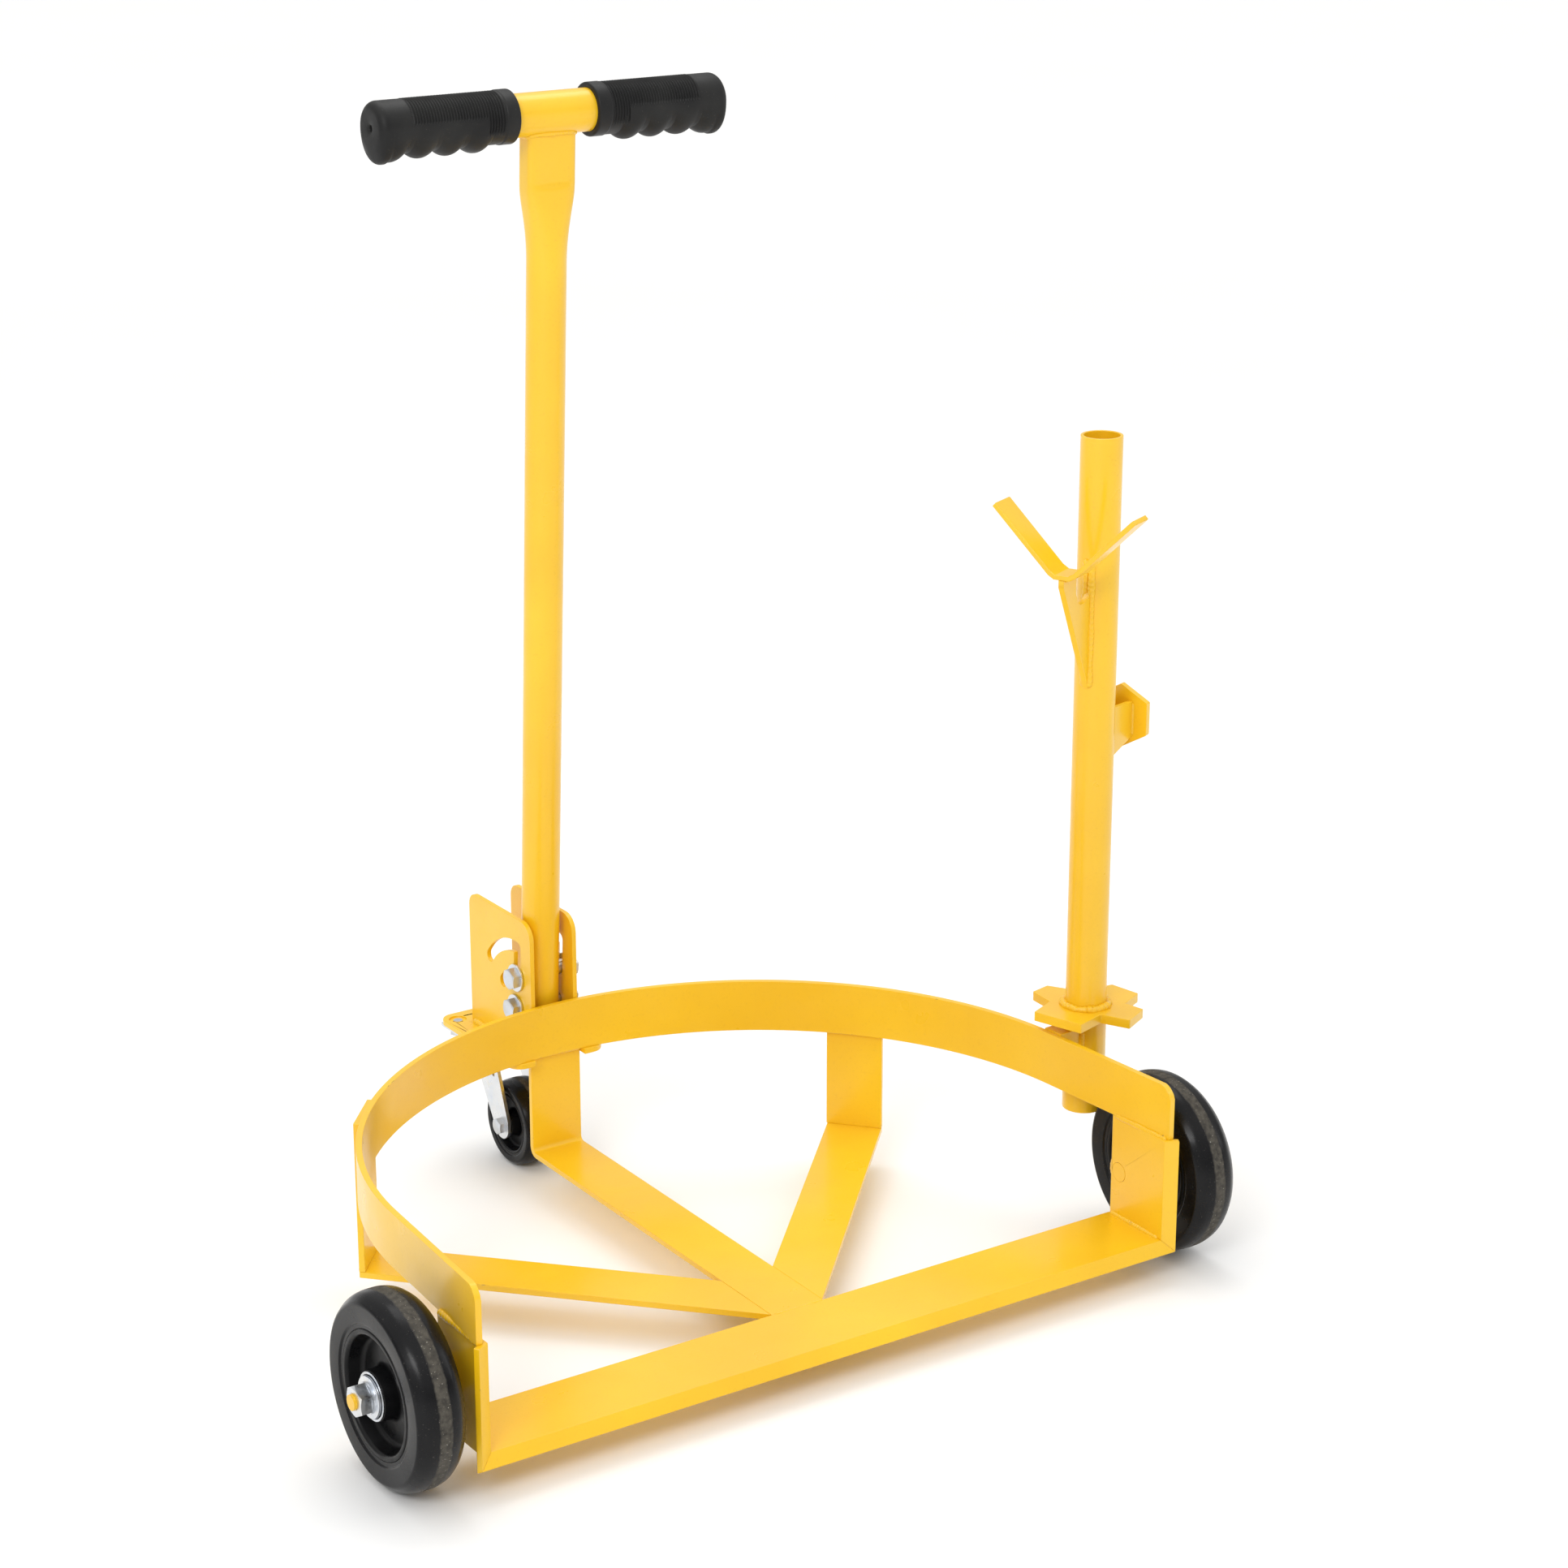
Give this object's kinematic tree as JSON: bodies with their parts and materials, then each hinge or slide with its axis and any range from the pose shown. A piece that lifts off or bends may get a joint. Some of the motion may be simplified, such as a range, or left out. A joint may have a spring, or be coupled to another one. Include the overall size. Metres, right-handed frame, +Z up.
{
  "type": "drum dolly",
  "caption": "Low open-ring drum dolly on two front wheels and a rear swivel caster, with a slotted fold-back T handle and a lift-out bung tool in a side socket.",
  "frame": {"origin": "middle of the overall box at floor level", "axes": "+X along the front wheels, +Y from the open mouth to the handle and caster, +Z up"},
  "size_m": [0.7988, 0.577, 0.9372],
  "materials": {
    "frame_paint": "glossy yellow powder coat on steel",
    "zinc_plate": "bright zinc plating",
    "bearing_steel": "plain bearing steel, lightly greased",
    "tyre_rubber": "moulded black rubber, dusty on the tread",
    "wheel_core": "semi-matt black moulded core",
    "bush_bronze": "plain sintered bronze",
    "grip_rubber": "ribbed matt black rubber"
  },
  "bodies": {
    "frame": {"ring_band": "frame_paint", "front_crossbar": "frame_paint", "left_side_plate": "frame_paint", "right_side_plate": "frame_paint", "center_spoke": "frame_paint", "left_spoke": "frame_paint", "right_spoke": "frame_paint", "bracket_base_plate": "frame_paint", "left_bracket_plate": "frame_paint", "right_bracket_plate": "frame_paint", "bracket_welds": "frame_paint", "tool_socket": "frame_paint", "socket_spacer": "frame_paint", "left_axle": "frame_paint", "right_axle": "frame_paint", "left_axle_washer": "zinc_plate", "right_axle_washer": "zinc_plate", "left_axle_nut": "zinc_plate", "right_axle_nut": "zinc_plate", "caster_top_plate": "zinc_plate", "caster_race": "zinc_plate", "caster_balls": "bearing_steel", "caster_kingpin": "zinc_plate", "caster_plate_bolts": "zinc_plate"},
    "left_wheel": {"left_tyre": "tyre_rubber", "left_wheel_rim": "wheel_core", "left_wheel_bush": "bush_bronze"},
    "right_wheel": {"right_tyre": "tyre_rubber", "right_wheel_rim": "wheel_core", "right_wheel_bush": "bush_bronze"},
    "caster_yoke": {"caster_fork": "zinc_plate", "caster_axle_sleeve": "bearing_steel", "caster_axle_bolt": "zinc_plate", "caster_axle_nut": "zinc_plate"},
    "caster_wheel": {"caster_tyre": "tyre_rubber", "caster_wheel_core": "wheel_core"},
    "handle_pivot": {"pivot_bolt": "zinc_plate", "pivot_washers": "zinc_plate", "pivot_nut": "zinc_plate"},
    "handle": {"lock_bolt": "zinc_plate", "lock_washers": "zinc_plate", "lock_nut": "zinc_plate", "handle_tube": "frame_paint", "handle_crossbar": "frame_paint", "left_grip": "grip_rubber", "right_grip": "grip_rubber"},
    "bung_tool": {"tool_tube": "frame_paint", "tool_peg": "frame_paint", "star_plate": "frame_paint", "star_weld": "frame_paint", "fork_strip": "frame_paint", "fork_gusset": "frame_paint", "hex_plate": "frame_paint", "hex_ribs": "frame_paint"}
  },
  "joints": [
    {"name": "left_wheel_spin", "type": "hinge", "parent": "frame", "child": "left_wheel", "pos_m": [-0.3624, -0.2135, 0.075], "axis": [1, 0, 0], "continuous": true},
    {"name": "right_wheel_spin", "type": "hinge", "parent": "frame", "child": "right_wheel", "pos_m": [0.3476, -0.2135, 0.075], "axis": [1, 0, 0], "continuous": true},
    {"name": "caster_swivel", "type": "hinge", "parent": "frame", "child": "caster_yoke", "pos_m": [-0.0074, 0.2535, 0.1], "axis": [0, 0, 1], "continuous": true},
    {"name": "caster_wheel_spin", "type": "hinge", "parent": "caster_yoke", "child": "caster_wheel", "pos_m": [-0.0074, 0.2235, 0.038], "axis": [1, 0, 0], "continuous": true},
    {"name": "handle_tilt", "type": "hinge", "parent": "frame", "child": "handle_pivot", "pos_m": [-0.0074, 0.1885, 0.16], "axis": [-1, 0, 0], "range_deg": [0, 56]},
    {"name": "handle_lift", "type": "slide", "parent": "handle_pivot", "child": "handle", "axis": [0, -0.0593, 0.9982], "range_m": [0, 0.027]},
    {"name": "tool_lift", "type": "slide", "parent": "frame", "child": "bung_tool", "axis": [0, 0, 1], "range_m": [0, 0.08]}
  ]
}
